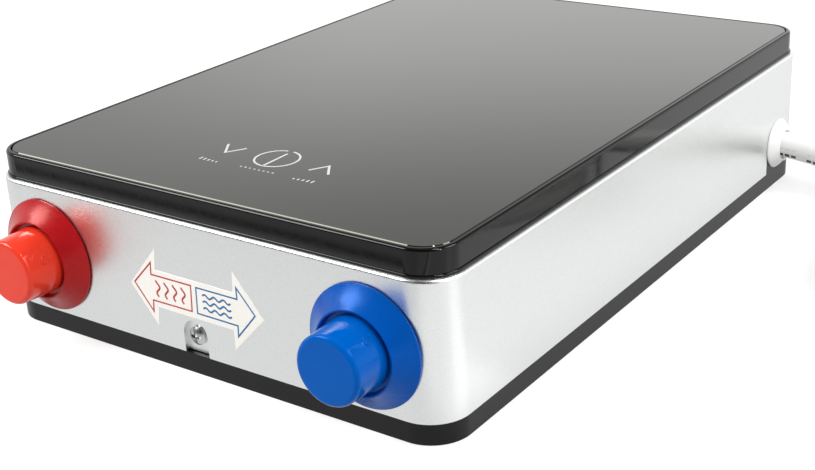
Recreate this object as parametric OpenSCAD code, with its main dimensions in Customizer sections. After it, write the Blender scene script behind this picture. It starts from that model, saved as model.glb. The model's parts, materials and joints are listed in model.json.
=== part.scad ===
// Flat tankless electric water heater, lying on its back with its water connectors at -Y.
// The origin is the middle of the base's underside. All sizes are in millimetres.

/* [Case] */
// Width of the case across the connector end
body_w = 197.5; // [190:0.5:215]
// Length of the case from the connector end to the far end
body_l = 286; // [278:1:320]
// Height from the underside to the top of the glass
body_h = 65; // [63:0.5:80]
// Outside radius of the upright corners
corner_r = 14; // [11:0.5:18]
// Height of the base's outer rim, below the metal shell
rim_h = 7.3; // [6:0.1:9]
// Thickness of the base's floor
floor_t = 3; // [2.4:0.1:4]
// Height of the tongue that the shell slips over
tongue_h = 4; // [2:0.5:6]
// Thickness of that tongue
tongue_t = 2.2; // [1.6:0.1:3]
// Sheet thickness of the metal shell
shell_t = 1.2; // [0.8:0.1:1.6]
// Outside radius of the bend along the shell's top edge
bend_r = 1.3; // [0.8:0.1:2]
// Width of the flange turned in along the shell's top edge
flange_w = 9; // [7:0.5:11]

/* [Top cover] */
// Height of the black cover above the metal shell
cover_h = 9.3; // [8.6:0.1:12]
// How far the cover's side stands in from the shell's face
cover_in = 1.6; // [0.8:0.1:2.5]
// Wall thickness of the cover
cover_t = 2.4; // [1.8:0.1:3]
// Radius of the bead along the cover's lower edge
bead_r = 0.5; // [0.3:0.05:0.7]
// Radius of the cover's upper outer edge
edge_r = 1; // [0.5:0.1:1.4]
// Width of the rim round the glass
rim_w = 1.7; // [1.2:0.1:2.2]
// Thickness of the glass
glass_t = 4; // [3:0.5:5]
// Gap between the glass and the rim round it
glass_gap = 0.3; // [0.2:0.05:0.6]
// Thickness of the cover's plate under the glass
plate_t = 2.2; // [1.6:0.1:2.6]

/* [Case screws] */
// Width of the pressed-in pocket round the screw at each end of the case
pocket_w = 10.8; // [9:0.2:14]
// Depth of that pocket
pocket_depth = 1.8; // [1.5:0.1:3.4]
// Height of the screw's centre above the underside
screw_z = 14.2; // [13.5:0.1:17]
// How far the middle of the pocket's round top lies above the screw's centre
pocket_rise = 0.6; // [0:0.1:1]
// Sideways place of the screw in each end, from the case's middle
screw_x = -2.2; // [-4:0.1:4]
// Gap between the pocket's floor and the base's rim
tab_lift = 0.4; // [0.3:0.1:2]

/* [Connectors] */
// Distance from a connector's axis to the side of the case
port_in = 27.75; // [26:0.25:33]
// Sideways place of the connector end's fittings, from the case's middle
front_x = -0.6; // [-2:0.1:2]
// Outside radius of the half-inch pipe thread
thread_r = 10.48; // [10.2:0.01:11]
// Length of thread outside the case
thread_l = 16.5; // [13:0.5:20]
// Radius of the waterway in the connectors
bore_r = 7.2; // [6:0.1:7.6]
// Radius of the collar's lip
collar_r = 21.1; // [20.5:0.1:22.5]
// Gap between the lip and the wall
lip_lift = 0.3; // [0.2:0.1:1.4]
// Thickness of the lip
lip_t = 0.6; // [0.5:0.1:1.2]
// Radius of the collar's outer end
collar_end_r = 14.7; // [14.5:0.1:15.4]
// Width of the collar's outer edge
collar_edge = 0.5; // [0.4:0.1:0.9]
// Slope of the collar's hollow flare where it leaves the lip, in degrees
lip_slope = 30; // [2:0.5:31]
// Wall of the collar
collar_t = 1.2; // [1:0.1:1.5]
// Depth of the recess in the collar's outer end
cup_depth = 1.9; // [1.4:0.1:2.4]
// Gap between the floor of that recess and the rim of the cap
cap_stand = 0.6; // [0.3:0.1:3]
// Radius of the cap's rim
cap_r = 12.4; // [12.2:0.1:13]
// Radius of the cap's closed end
cap_end_r = 11.9; // [11.5:0.1:12.1]
// Thickness of the cap's closed end
cap_end_t = 2.2; // [1.6:0.1:3]
// How far a cap draws off
cap_travel = 45; // [30:5:60]

/* [Water path] */
// Width across flats of the connectors' inner hexagon
hex_af = 27; // [26:0.5:29]
// Thickness of that hexagon
hex_t = 6; // [4:0.5:8]
// Width across flats of the lock nuts
nut_af = 25; // [24.5:0.1:25.4]
// Thickness of the lock nuts
nut_t = 3.2; // [2.4:0.1:3.6]
// Thickness of the flat seals behind the wall
seal_t = 1.5; // [1:0.1:2]
// Length of the connectors' tails inside the case
tail_l = 10; // [8:0.5:12]
// Radius of those tails
tail_r = 9.4; // [8.8:0.1:10]
// Outside radius of the water tubes
tube_r = 7.9; // [7.4:0.1:8.4]
// Wall of the water tubes
tube_t = 1.2; // [0.8:0.1:1.5]
// How deep the tubes sit in their sockets
socket_l = 9; // [7:0.5:11]
// Wall of the flow sensor's housing
sensor_t = 3.5; // [2.5:0.5:4.5]
// Length of the turbine
rotor_l = 16; // [12:1:18]
// Number of turbine blades
blade_n = 5; // [4:1:6]
// Slant of the blades
blade_tilt = 38; // [25:1:42]
// Radius of the turbine's pin
pin_r = 1; // [0.8:0.05:1.2]

/* [Heater] */
// Distance from the connector end to the heater block
heater_gap = 102; // [98:1:104]
// Length of the cast heater block
heater_l = 98; // [90:1:100]
// Height of the heater block's underside above the case's underside
heater_foot = 13.7; // [13:0.1:14.5]
// Room above the heater block, for the cut-out
heater_over = 13.1; // [12.6:0.1:14]
// Metal beside the outermost waterway
heater_edge = 11; // [10.5:0.5:13]
// Radius of the ribs cast on the block's back half
rib_r = 3; // [2:0.5:3.5]
// Radius of the thermal cut-out
cutout_r = 8.5; // [7.5:0.5:10]
// Height of the thermal cut-out
cutout_h = 7; // [6:0.5:8]
// Travel of its reset button
button_travel = 1.2; // [0.8:0.1:1.6]

/* [Electronics] */
// Width of the control board
board_w = 120; // [112:1:124]
// Length of the control board along the case
board_l = 50; // [44:1:52]
// Thickness of the circuit boards
board_t = 1.6; // [1.2:0.1:2]
// Height of the control board's underside
board_z = 13; // [12:0.5:14]
// Width of the touch board under the glass
touch_w = 116; // [100:1:120]
// Length of the touch board
touch_l = 36; // [30:1:40]
// Distance from the connector end to the middle of the touch keys
touch_in = 43.5; // [40:0.5:48]
// Distance between neighbouring touch keys
key_pitch = 21; // [20:0.5:26]
// Sideways place of the middle touch key, from the case's middle
key_x = 2.5; // [-4:0.5:4]
// Air between the cover's plate and the touch board
touch_gap = 4; // [3:0.5:5]

/* [Wall mount] */
// Distance between the two keyholes
keyhole_pitch = 200; // [180:5:210]
// Radius of a keyhole's round entry
keyhole_r = 5; // [4.5:0.1:5.5]
// Half width of a keyhole's slot
keyhole_slot_r = 2.6; // [2.2:0.1:3]
// Length of the slot from the entry's centre
keyhole_run = 11; // [9:0.5:13]
// Depth of the pocket over each keyhole
keyhole_depth = 6; // [5:0.5:7]

/* [Cord] */
// Outside diameter of the cord
cord_d = 11; // [10:0.1:11.2]
// Distance from the far end to the cord's axis
gland_back = 25; // [22:0.5:28]
// Height of the cord's axis
gland_z = 19; // [18:0.1:20]
// Radius of the cord bushing's domed head
gland_r = 10.7; // [10.5:0.1:11.5]
// Half width of the bushing's slot in the shell
slot_r = 10.1; // [9.8:0.1:10.3]
// Height of the domed head
dome_h = 5; // [4:0.5:8]
// Length of the bushing's tail inside the case
gland_tail = 14; // [12:0.5:16]
// Turns in the coil
coil_turns = 3.25; // [2.25:1:4.25]
// Innermost radius of the coil, at the cord's middle
coil_in_r = 48; // [46:1:52]
// Thickness of the ties round the coil
tie_t = 0.8; // [0.6:0.1:1.2]
// Width of the ties
tie_w = 8; // [5:0.5:10]

/* [Plug] */
// Radius of the plug's head
plug_r = 18.5; // [18:0.1:20]
// Length of the plug without its pins
plug_l = 52; // [46:1:60]
// Length of the head
plug_head = 15; // [12:1:18]
// Radius of a plug pin
plug_pin_r = 2.4; // [2:0.1:2.4]
// Length of a plug pin
plug_pin_l = 19; // [17:0.5:20]
// Distance between the plug pins
plug_pin_pitch = 19; // [17:0.5:20]

/* [Fits] */
// Clearance between parts that slip together
fit = 0.2; // [0.15:0.01:0.25]
// Clearance between close-fitting round parts
close_fit = 0.1; // [0.06:0.01:0.12]
// Running clearance of the turbine and the button
run_fit = 0.05; // [0.03:0.01:0.08]
// Clearance of a cap on its thread and its collar
cap_fit = 0.3; // [0.25:0.01:0.35]

/* [Hidden] */
$fn = 48;
over = 1;
hot = -1;
cold = 1;

// Heights and depths of the case
shell_top = body_h - cover_h;
tongue_in = shell_t + fit;
rim_t = tongue_in + tongue_t;
rim_depth = cover_in + rim_w;
plate_top = body_h - glass_t;
plate_low = plate_top - plate_t;

// Connectors: spread over the width, at the middle of the heater block's height
port_pitch = body_w - 2 * port_in;
port_z = (heater_foot + plate_low - heater_over) / 2;

// Posts behind the end pockets
post_in = pocket_depth + shell_t + fit;
post_t = 6;
post_skin = 1;
post_w = pocket_w + 3;
post_rise = 6;

// Screws: head radius, head height, shank radius, length
case_screw = [3.4, 2.2, 1.6, shell_t + post_t - post_skin];
small_screw = [2.6, 1.6, 1.2, 5];
heater_screw = [3.6, 2.4, 1.9, 11];
post_r = 5;

// Places of the screws that hold the top cover, and the bosses they enter
cover_screw_in = 6;
cover_screw_y = 96;
cover_boss_r = 2.8;

// Connectors: depths are measured inwards from the outer face of the wall
hex_front = shell_t + seal_t;
hex_back = hex_front + hex_t;
nipple_back = hex_back + tail_l;
mouth_r = bore_r + 1;
mouth_l = 6;
seal_r = 14;
collar_floor = nut_t + fit;
collar_face = collar_floor + collar_t;
collar_h = collar_face + cup_depth;
collar_skirt = 5;
collar_hollow = nut_af / sqrt(3) + 2 * fit;
collar_foot = collar_hollow + 1.5 * collar_t;
cap_start = collar_face + cap_stand;
cap_room = 1;
cap_end = thread_l + cap_room + cap_end_t;
cap_bore = thread_r + cap_fit;
cap_round = 1.6;
strainer_t = 1.5;
strainer_l = 9;
strainer_wall = 0.8;
strainer_slots = 8;

// Flow sensor, from the connector's tail inwards
chamber_r = tail_r + close_fit;
sensor_r = chamber_r + sensor_t;
sensor_start = hex_back + 0.5;
guide_l = 5;
guide_start = nipple_back + close_fit;
float_gap = 0.3;
rotor_start = guide_start + guide_l + float_gap;
spider_start = rotor_start + rotor_l + float_gap;
spider_t = 3;
spider_set = 0.6;
sensor_end = spider_start + spider_t + 4 + socket_l;
hub_r = 3;
bar_t = 1.6;
blade_t = 1.2;
rotor_r = chamber_r - 0.6;
tube_in_r = tube_r - tube_t;
tube_end = heater_gap + socket_l - fit;
bell_t = 1.6;
cone_l = 6;
probe_in = 66;
probe_r = 2.5;
probe_head_r = 4;
boss_rise = 5;

// Heater block
heater_y = heater_gap - body_l / 2;
heater_back = heater_y + heater_l;
heater_w = port_pitch + 2 * heater_edge;
heater_low = heater_foot;
heater_top = plate_low - heater_over;
heater_h = heater_top - heater_low;
heater_round = 8;
lug_x = 52;
lug_r = 6;
lug_t = 4;
lug_out = 7;
waterway_end = 16;
rib_n = 6;
rib_pitch = 22;
terminal_r = 3;
terminal_l = 12;
terminal_base_r = 6;
terminal_base_l = 3;
cutout_in = 26;
cutout_y = heater_y + cutout_in;
cutout_ear = 13;
cutout_ear_r = 4;
cutout_ear_t = 1.6;
button_r = 1.8;
button_up = 1.8;
button_in = 3;
triac_off = 42;
triac_x = front_x + triac_off;
triac_size = [16, 21, 5];
triac_leg = [1.2, 9, 0.8];

// Control board, placed from the far end and the cord's side
board_side = 48;
board_right = body_w / 2 - board_side;
board_left = board_right - board_w;
board_end = 0.8;
board_far = body_l / 2 - post_in - post_t - board_end;
board_near = board_far - board_l;
board_top = board_z + board_t;
board_hole_in = 5;
board_post_r = 3.5;
relay_size = [20, 16, 16];
relay_in = 27;
relay_y = board_near + relay_in;
relay_pitch = 35;
relay_gap = 5.35;
module_size = [22, 32, 18];
module_side = 46;
module_in = 10;
module_left = board_right - module_side;
// Relays beside the module, each in line with a heater terminal
terminal_x = [for (k = [1, 0]) module_left - relay_gap - relay_size[0] / 2 - k * relay_pitch - front_x];
block_size = [14, 14, 13];
block_left = board_right - block_size[0] - 1;
lead_r = 1.4;
lead_d = 3;
lead_gap = 3.2;

// Touch board
touch_y = touch_in - body_l / 2;
touch_top = plate_low - touch_gap;
touch_boss_r = 3;
touch_hole_in = 5;
pad_r = 4.5;
display_size = [34, 12];
display_off = 12;
display_y = touch_y + display_off;

// Cord bushing and clamp
gland_y = body_l / 2 - gland_back;
cord_r = cord_d / 2;
gland_bore = cord_r + close_fit;
gland_edge = 0.5;
gland_flare = 1;
gland_flange = 2.5;
gland_tip_r = cord_r + 1.8;
clamp_x = body_w / 2 - 25;
clamp_l = 8;
clamp_w = 30;
clamp_h = 8;
clamp_screw_y = 10.5;
clamp_split = 0.4;
ring_x = body_w / 2 - 42;
ring_l = 7;
ring_r = 10;
ring_bore = 5.6;

// Free cord: route chosen by hand, out of the bushing and down to the floor
cord_route = [[68, 118, 19], [90, 118, 19], [98, 118, 19], [106, 118, 18.6], [116, 118, 17.4],
  [128, 118, 15.2], [140, 118, 12.7], [152, 118, 10.4], [164, 118, 8.6], [176, 118, 7.4],
  [188, 118, 6.8], [200, 118, 6.7], [212, 118, 6.7]];
coil_gap = 0.7;
coil_pitch = cord_d + 1;
coil_step = cord_d + coil_gap;
coil_climb = 0.5;
coil_rings = 24;
coil_mid = coil_turns / 2;
coil_start = cord_route[len(cord_route) - 1];
coil_low = coil_start[2];
coil_x = coil_start[0] + cord_d;
coil_y = coil_start[1] - coil_radius(0);
coil_exit = [coil_x + coil_radius(coil_turns), coil_y - cord_d, coil_low + coil_step];
coil_path = concat([coil_start],
  [for (i = [0:coil_rings * coil_turns]) coil_point(i / coil_rings)], [coil_exit]);
plug_at = [272, -40, 18.5];
cord_tail_route = concat([coil_exit], [[290.5, 30, 18.4], [288.5, 18, 18.4], [283.5, 4, 18.5],
  [277.5, -9, 18.5], [273.5, -20, 18.5], [272, -30, 18.5]], [plug_at]);
tie_gap = 0.4;
tie_round = 3;
tie_places = [0.45, 0.8];

// Plug
plug_neck_r = 6.6;
plug_neck_l = 24;
plug_waist_r = 13;
plug_round = 1.5;
plug_pin_in = 10;
earth_w = 6;
earth_t = 1.2;
earth_l = 11;

// Radius, height and point of the coil after a number of turns: in along the floor, then out on top
function coil_radius(t) = coil_in_r + coil_pitch * abs(t - coil_mid);
function ease(s) = s <= 0 ? 0 : s >= 1 ? 1 : s * s * (3 - 2 * s);
function coil_height(t) = coil_low + coil_step * ease((t - coil_mid) / coil_climb + 0.5);
function coil_point(t) = [coil_x + coil_radius(t) * sin(360 * t),
  coil_y + coil_radius(t) * cos(360 * t), coil_height(t)];

// Least distance between points of a path that are more than a given count apart
function least_gap(path, apart) = min([for (i = [0:len(path) - 1], j = [i + apart:1:len(path) - 1])
  norm(path[i] - path[j])]);

// Rings of a round tube along a path; side is a direction that the path never points in
function unit(v) = v / norm(v);
function heading(path, i) =
  unit(path[min(i + 1, len(path) - 1)] - path[max(i - 1, 0)]);
function ring_points(path, i, r, n, side) =
  let (t = heading(path, i), a = unit(cross(t, side)), b = cross(t, a))
  [for (k = [0:n - 1]) path[i] + r * (cos(360 * k / n) * a + sin(360 * k / n) * b)];

// Tube swept along a path as one closed skin of triangles
module swept_tube(path, r, n, side) {
  last = len(path) - 1;
  skin = [for (i = [0:last - 1], k = [0:n - 1], f = [0, 1])
    let (a = i * n + k, b = i * n + (k + 1) % n)
    f == 0 ? [a, b, b + n] : [a, b + n, a + n]];
  near_end = [for (k = [1:n - 2]) [0, k + 1, k]];
  far_end = [for (k = [1:n - 2]) [last * n, last * n + k, last * n + k + 1]];
  polyhedron([for (i = [0:last]) each ring_points(path, i, r, n, side)],
    concat(skin, near_end, far_end));
}

// Outline of the case, drawn in by a depth from its outer face
module outline(depth = 0) {
  rounded_rect(body_w - 2 * depth, body_l - 2 * depth, corner_r - depth);
}

module rounded_rect(w, l, r) {
  square([w - 2 * r, l], center = true);
  square([w, l - 2 * r], center = true);
  for (x = [-1, 1], y = [-1, 1])
    translate([x * (w / 2 - r), y * (l / 2 - r)]) circle(r);
}

// Wall swept round the case: its section's x runs inwards from the outline drawn in by depth
module round_wall(depth = 0) {
  w = body_w - 2 * depth;
  l = body_l - 2 * depth;
  r = corner_r - depth;
  for (turn = [0, 1]) rotate(180 * turn) {
    translate([w / 2, l / 2 - r, 0]) rotate([90, 0, 0])
      linear_extrude(l - 2 * r) mirror([1, 0]) children();
    translate([r - w / 2, l / 2, 0]) rotate([90, 0, 90])
      linear_extrude(w - 2 * r) mirror([1, 0]) children();
    for (side = [0, 1]) translate([(1 - 2 * side) * (w / 2 - r), l / 2 - r, 0]) rotate(90 * side)
      rotate_extrude(angle = 90) translate([r, 0]) mirror([1, 0]) children();
  }
}

// What a quarter round takes off the upper outer corner of a section
module edge_cut(r) {
  difference() {
    translate([-over, -r]) square([r + over, r + over]);
    translate([r, -r]) circle(r);
  }
}

// Places on the connector end and on the cord's side: z points out of the wall, y up
module on_front(x, z) {
  translate([x, -body_l / 2, z]) rotate([90, 0, 0]) children();
}

module on_right(y, z) {
  translate([body_w / 2, y, z]) rotate([90, 0, 90]) children();
}

module at_port(side) {
  on_front(front_x + side * port_pitch / 2, port_z) children();
}

module at_gland() {
  on_right(gland_y, gland_z) children();
}

// Both ends of the case carry a pocket with a screw
module at_case_screws() {
  for (turn = [0, 1]) rotate(180 * turn) on_front(screw_x, screw_z) children();
}

// Round bar between two depths inside a wall
module inside(from, to, r) {
  translate([0, 0, -to]) cylinder(h = to - from, r = r);
}

module hexagon(from, to, flats) {
  translate([0, 0, from]) cylinder(h = to - from, r = flats / 2 / cos(30), $fn = 6);
}

// Pan-head screw with a cross recess: its head stands on z = 0 and its shank points down
module screw(size) {
  head_r = size[0];
  head_h = size[1];
  cross_w = head_r * 0.36;
  difference() {
    union() {
      rotate_extrude() intersection() {
        square([head_r, head_h]);
        translate([0, head_h - 1.6 * head_r]) circle(1.6 * head_r);
      }
      translate([0, 0, -size[3]]) cylinder(h = size[3] + head_h / 2, r = size[2]);
    }
    for (turn = [0, 90]) rotate(turn)
      translate([-0.62 * head_r, -cross_w / 2, 0.4 * head_h]) cube([1.24 * head_r, cross_w, head_h]);
  }
}

// U-shaped pocket drawn round the screw's centre, down to a lower edge
module pocket_shape(grow, low) {
  half = pocket_w / 2 + grow;
  translate([0, pocket_rise]) circle(half);
  translate([-half, low - screw_z]) square([2 * half, screw_z + pocket_rise - low]);
}

// Round-topped slot for the cord's bushing
module slot_shape(r, low) {
  circle(r);
  translate([-r, low - gland_z]) square([2 * r, gland_z - low]);
}

// Keyhole: a round entry with a slot, and the wider room behind it for the wall screw's head
module keyhole_shape(entry_r, slot_r) {
  circle(entry_r);
  translate([0, keyhole_run]) circle(slot_r);
  translate([-slot_r, 0]) square([2 * slot_r, keyhole_run]);
}

module at_keyholes() {
  for (y = [-1, 1]) translate([0, y * keyhole_pitch / 2, 0]) children();
}

module at_lugs() {
  for (x = [-1, 1], y = [-1, 1])
    translate([front_x + x * lug_x, y > 0 ? heater_back + lug_out : heater_y - lug_out, 0]) children();
}

module at_board_holes() {
  for (x = [board_left + board_hole_in, board_right - board_hole_in],
    y = [board_near + board_hole_in, board_far - board_hole_in]) translate([x, y, 0]) children();
}

module at_touch_holes() {
  for (x = [-1, 1], y = [-1, 1])
    translate([x * (touch_w / 2 - touch_hole_in), touch_y + y * (touch_l / 2 - touch_hole_in), 0])
      children();
}

module at_keys() {
  for (k = [-1:1]) translate([key_x + k * key_pitch, touch_y, 0]) children();
}

module at_cover_screws() {
  for (x = [-1, 1], y = [-1, 1])
    translate([x * (body_w / 2 - cover_screw_in), y * cover_screw_y, 0]) children();
}

module at_clamp_screws() {
  for (y = [-1, 1]) translate([clamp_x, gland_y + y * clamp_screw_y, 0]) children();
}

// Upright post with a pilot hole left for its screw
module post(r, top, hole_r) {
  difference() {
    cylinder(h = top, r = r);
    translate([0, 0, floor_t]) cylinder(h = top, r = hole_r);
  }
}

module base_tray() {
  keyhole_wall = 1.6;
  color("#2b2b2d") difference() {
    union() {
      linear_extrude(floor_t) outline();
      linear_extrude(rim_h) difference() {
        outline();
        outline(rim_t);
      }
      linear_extrude(rim_h + tongue_h) difference() {
        outline(tongue_in);
        outline(rim_t);
      }
      at_case_screws() translate([-post_w / 2, -screw_z, -post_in - post_t])
        cube([post_w, screw_z + post_rise, post_t]);
      // Upstand that fills the shell's slot below the cord's bushing
      at_gland() translate([0, 0, -rim_t]) linear_extrude(rim_t)
        translate([fit - slot_r, -gland_z]) square([2 * (slot_r - fit), gland_z]);
      at_keyholes() linear_extrude(floor_t + keyhole_depth)
        keyhole_shape(keyhole_r + keyhole_wall, keyhole_r + keyhole_wall);
      at_lugs() post(post_r, heater_low, heater_screw[2] + run_fit);
      at_board_holes() post(board_post_r, board_z, small_screw[2] + run_fit);
      translate([clamp_x - clamp_l / 2, gland_y - clamp_w / 2, 0])
        cube([clamp_l, clamp_w, gland_z - clamp_split]);
      translate([ring_x, gland_y - ring_r, 0]) cube([ring_l, 2 * ring_r, gland_z - ring_bore]);
    }
    at_case_screws() {
      translate([-pocket_w / 2 - shell_t - fit, rim_h - screw_z, -post_in])
        cube([pocket_w + 2 * shell_t + 2 * fit, screw_z + post_rise, post_in + over]);
      inside(post_in - over, post_in + post_t - post_skin, case_screw[2] + run_fit);
    }
    at_gland() {
      inside(-over, rim_t + over, slot_r - fit);
      inside(shell_t + fit, rim_t + gland_tail, gland_r + fit);
    }
    at_keyholes() {
      translate([0, 0, -over]) linear_extrude(floor_t + 2 * over)
        keyhole_shape(keyhole_r, keyhole_slot_r);
      translate([0, 0, floor_t]) linear_extrude(keyhole_depth - keyhole_wall)
        keyhole_shape(keyhole_r, keyhole_r);
    }
    translate([0, gland_y, gland_z]) rotate([0, 90, 0]) {
      cylinder(h = body_w / 2 - shell_t, r = gland_bore);
      translate([0, 0, ring_x - over]) cylinder(h = ring_l + 2 * over, r = ring_r + close_fit);
    }
    at_clamp_screws() translate([0, 0, floor_t]) cylinder(h = gland_z, r = small_screw[2] + run_fit);
  }
}

module shell_section() {
  difference() {
    union() {
      translate([0, rim_h]) square([shell_t, shell_top - rim_h]);
      translate([0, shell_top - shell_t]) square([flange_w, shell_t]);
    }
    translate([0, shell_top]) edge_cut(bend_r);
  }
}

module case_shell() {
  color("#d3d5d4") difference() {
    union() {
      round_wall() shell_section();
      at_case_screws() translate([0, 0, -pocket_depth - shell_t])
        linear_extrude(pocket_depth + shell_t) pocket_shape(shell_t, rim_h + tab_lift);
    }
    at_case_screws() {
      translate([0, 0, -pocket_depth]) linear_extrude(pocket_depth + over)
        pocket_shape(0, rim_h - over);
      inside(0, post_in, case_screw[2] + fit);
    }
    for (side = [hot, cold]) at_port(side) inside(-over, shell_t + over, thread_r + fit);
    at_gland() translate([0, 0, -shell_t - over]) linear_extrude(shell_t + 2 * over)
      slot_shape(slot_r, rim_h - over);
    at_cover_screws() translate([0, 0, shell_top - shell_t - over])
      cylinder(h = shell_t + 2 * over, r = small_screw[2] + fit);
  }
}

// Section of the cover's wall: a bead along the foot, a plain side and a rounded rim
module cover_section() {
  difference() {
    union() {
      translate([cover_in, shell_top]) square([cover_t, plate_top - shell_top]);
      translate([cover_in, plate_low]) square([rim_w, body_h - plate_low]);
      translate([cover_in - bead_r, shell_top]) square(2 * bead_r);
    }
    translate([cover_in, body_h]) edge_cut(edge_r);
    translate([cover_in - bead_r, shell_top + 2 * bead_r]) edge_cut(bead_r);
  }
}

module top_cover() {
  color("#121314") difference() {
    union() {
      round_wall() cover_section();
      translate([0, 0, plate_low]) linear_extrude(plate_t) outline(cover_in + cover_t / 2);
      at_cover_screws() translate([0, 0, shell_top]) cylinder(h = plate_top - shell_top, r = cover_boss_r);
      at_touch_holes() translate([0, 0, touch_top]) cylinder(h = plate_top - touch_top, r = touch_boss_r);
    }
    at_cover_screws() translate([0, 0, shell_top - over])
      cylinder(h = plate_low - shell_top + over, r = small_screw[2] + run_fit);
    at_touch_holes() translate([0, 0, touch_top - over])
      cylinder(h = touch_gap + over, r = small_screw[2] + run_fit);
    at_keys() translate([0, 0, plate_low - over]) cylinder(h = plate_t + 2 * over, r = pad_r + fit);
    translate([0, display_y, plate_low - over]) linear_extrude(plate_t + 2 * over)
      square([display_size[0] + 2 * fit, display_size[1] + 2 * fit], center = true);
  }
}

module glass_panel() {
  grind = 0.5;
  depth = rim_depth + glass_gap;
  color("#1a1c1e") difference() {
    translate([0, 0, plate_top]) linear_extrude(glass_t) outline(depth);
    round_wall(depth) translate([0, body_h]) edge_cut(grind);
  }
}

module case_screws() {
  color("#b9bbbc") at_case_screws() translate([0, 0, -pocket_depth]) screw(case_screw);
}

module cover_screws() {
  color("#8c8f92") at_cover_screws() translate([0, 0, shell_top - shell_t]) mirror([0, 0, 1])
    screw([small_screw[0], small_screw[1], small_screw[2], shell_t + plate_low - shell_top - 0.5]);
}

// Section of a collar: foot on the wall, thin lip, hollow flare, recessed end with a floor
module collar_section() {
  low = [collar_r, lip_lift + lip_t];
  high = [collar_end_r, collar_h];
  middle = (low + high) / 2;
  across = unit([high[1] - low[1], low[0] - high[0]]);
  half_turn = atan2(across[0], across[1]) - lip_slope;
  flare_r = norm(high - low) / 2 / sin(half_turn);
  centre = middle + across * flare_r * cos(half_turn);
  difference() {
    polygon([[thread_r + fit, -collar_skirt], [collar_foot, -collar_skirt], [collar_foot, lip_lift],
      [collar_r, lip_lift], low, high, [thread_r + fit, collar_h]]);
    translate(centre) circle(flare_r);
    polygon([[0, collar_face], [collar_end_r - collar_t, collar_face],
      [collar_end_r - collar_edge, collar_h], [collar_end_r - collar_edge, collar_h + over],
      [0, collar_h + over]]);
    polygon([[0, -collar_skirt - over], [collar_hollow, -collar_skirt - over],
      [collar_hollow, collar_floor], [0, collar_floor]]);
  }
}

// The collar's foot is cut to follow the wall and the case's rounded corner
module collar(side, tint) {
  color(tint) difference() {
    at_port(side) rotate_extrude() collar_section();
    linear_extrude(body_h) outline(-0.02);
  }
}

module hot_collar() {
  collar(hot, "#c8202c");
}

module cold_collar() {
  collar(cold, "#0048b0");
}

// Push-on transit cap, closed at its outer end, with a small raised moulding mark on its side
module cap(side, tint) {
  mark_r = 1.35;
  mark_wire = 0.3;
  mark_in = side == hot ? 6.4 : 4.8;
  mark_turn = side == hot ? 23 : 45;
  taper = (cap_r - cap_end_r) / (cap_end - cap_round - cap_start);
  color(tint) at_port(side) {
    rotate_extrude() difference() {
      union() {
        polygon([[0, cap_start], [cap_r, cap_start], [cap_end_r, cap_end - cap_round],
          [cap_end_r - cap_round, cap_end], [0, cap_end]]);
        translate([cap_end_r - cap_round, cap_end - cap_round]) circle(cap_round);
      }
      translate([0, cap_start - over]) square([cap_bore, cap_end - cap_end_t - cap_start + over]);
    }
    rotate(mark_turn) translate([cap_r - taper * mark_in, 0, cap_start + mark_in])
      rotate([0, 90, 0]) rotate_extrude() translate([mark_r, 0]) circle(mark_wire);
  }
}

module hot_cap() {
  cap(hot, "#e8321e");
}

module cold_cap() {
  cap(cold, "#0a5cd8");
}

// Brass connector: thread outside, hexagon behind the wall, plain tail inside
module nipple() {
  chamfer = 0.9;
  color("#c9a449") difference() {
    union() {
      rotate_extrude() polygon([[0, -nipple_back], [tail_r - chamfer, -nipple_back],
        [tail_r, chamfer - nipple_back], [tail_r, -hex_front], [thread_r, -hex_front],
        [thread_r, thread_l - chamfer], [thread_r - chamfer, thread_l], [0, thread_l]]);
      hexagon(-hex_back, -hex_front, hex_af);
    }
    inside(-thread_l - over, nipple_back + over, bore_r);
    inside(-thread_l - over, mouth_l - thread_l, mouth_r);
  }
}

module outlet_nipple() {
  at_port(hot) nipple();
}

module inlet_nipple() {
  at_port(cold) nipple();
}

module lock_nuts() {
  color("#b8923a") for (side = [hot, cold]) at_port(side) difference() {
    hexagon(0, nut_t, nut_af);
    inside(-nut_t - over, over, thread_r + run_fit);
  }
}

module nipple_seals() {
  color("#26262a") for (side = [hot, cold]) at_port(side) difference() {
    inside(shell_t, hex_front, seal_r);
    inside(0, hex_front + over, thread_r + fit);
  }
}

// Slotted basket with a flange that sits in the cold connector's mouth
module inlet_strainer() {
  seat = thread_l - mouth_l;
  basket_r = bore_r - close_fit;
  color("#d8d4c4") at_port(cold) difference() {
    union() {
      translate([0, 0, seat]) cylinder(h = strainer_t, r = mouth_r - close_fit);
      translate([0, 0, seat - strainer_l]) cylinder(h = strainer_l, r = basket_r);
    }
    translate([0, 0, seat - strainer_l + strainer_wall])
      cylinder(h = strainer_l + strainer_t, r = basket_r - strainer_wall);
    for (k = [0:strainer_slots - 1]) rotate(360 * k / strainer_slots)
      translate([0, -0.6, seat - strainer_l + 2]) cube([basket_r + over, 1.2, strainer_l - 4]);
  }
}

// Hub on bars across a round passage, with a hole for the turbine's pin
module spider(from, to, r) {
  first_turn = 30;
  difference() {
    union() {
      inside(from, to, hub_r);
      for (k = [0:2]) rotate(first_turn + 120 * k) translate([0, -bar_t / 2, -to])
        cube([r, bar_t, to - from]);
    }
    inside(from - over, to + over, pin_r + run_fit / 2);
  }
}

module flow_housing() {
  spider_end = spider_start + spider_t;
  color("#3a3d40") at_port(cold) {
    difference() {
      inside(sensor_start, sensor_end, sensor_r);
      inside(sensor_start - over, spider_end + spider_set, chamber_r);
      inside(spider_end, sensor_end + over, tube_in_r);
      inside(sensor_end - socket_l, sensor_end + over, tube_r + close_fit);
    }
    spider(spider_start, spider_end, chamber_r + sensor_t / 2);
  }
}

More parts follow.
